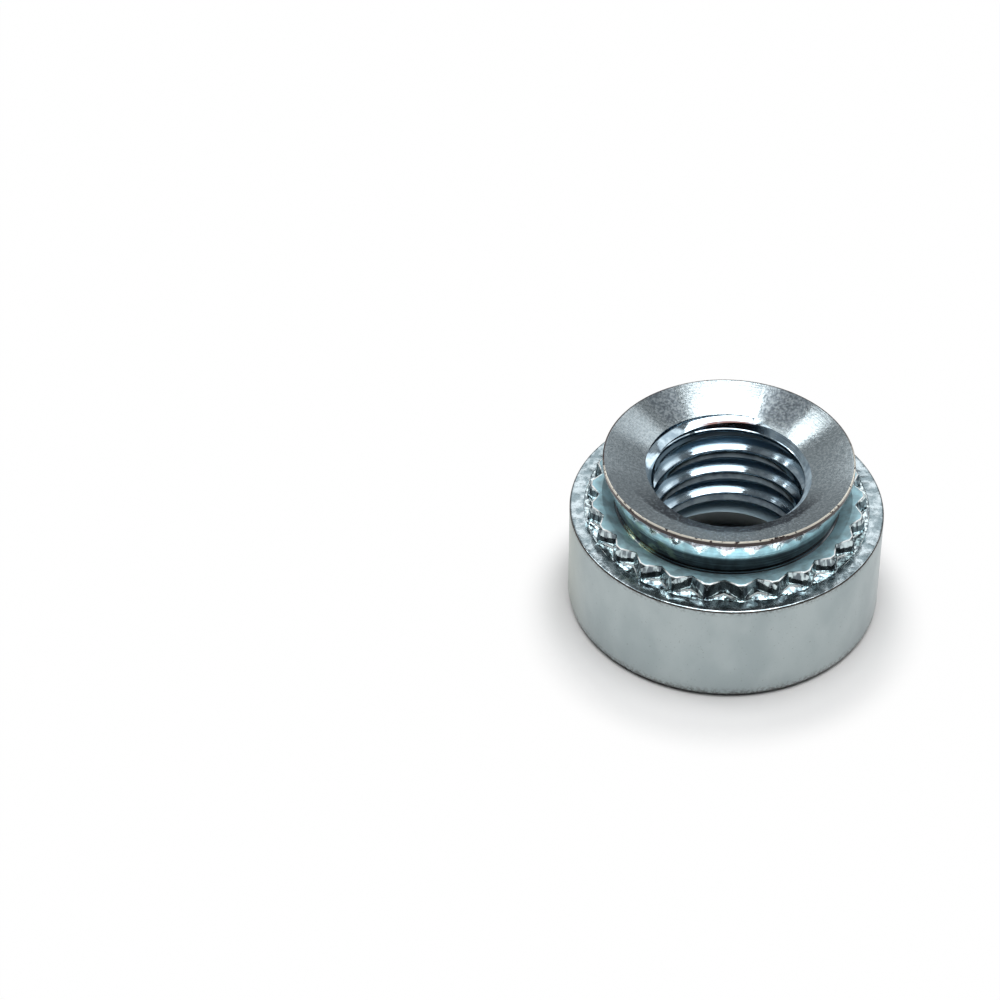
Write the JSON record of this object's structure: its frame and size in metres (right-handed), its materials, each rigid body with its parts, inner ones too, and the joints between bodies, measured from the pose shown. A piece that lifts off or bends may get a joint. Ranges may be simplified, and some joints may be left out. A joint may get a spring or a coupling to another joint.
{
  "type": "self-clinching nut",
  "caption": "Round self-clinching nut: plain body, serrated clinch ring, undercut shank with a dished end, and an M6 threaded bore right through.",
  "frame": {"origin": "centre of the flat base, on the bore's axis", "axes": "+Z along the bore's axis from the flat base to the shank end that is pressed into the sheet; one notch of the clinch ring points along -Y"},
  "size_m": [0.011, 0.011, 0.0061],
  "materials": {
    "zinc_plated_steel": "bright blue-white zinc plating over turned steel, satin on the body and mirror-like in the notches and the thread"
  },
  "bodies": {
    "root": {"clinch_nut": "zinc_plated_steel"}
  },
  "joints": []
}
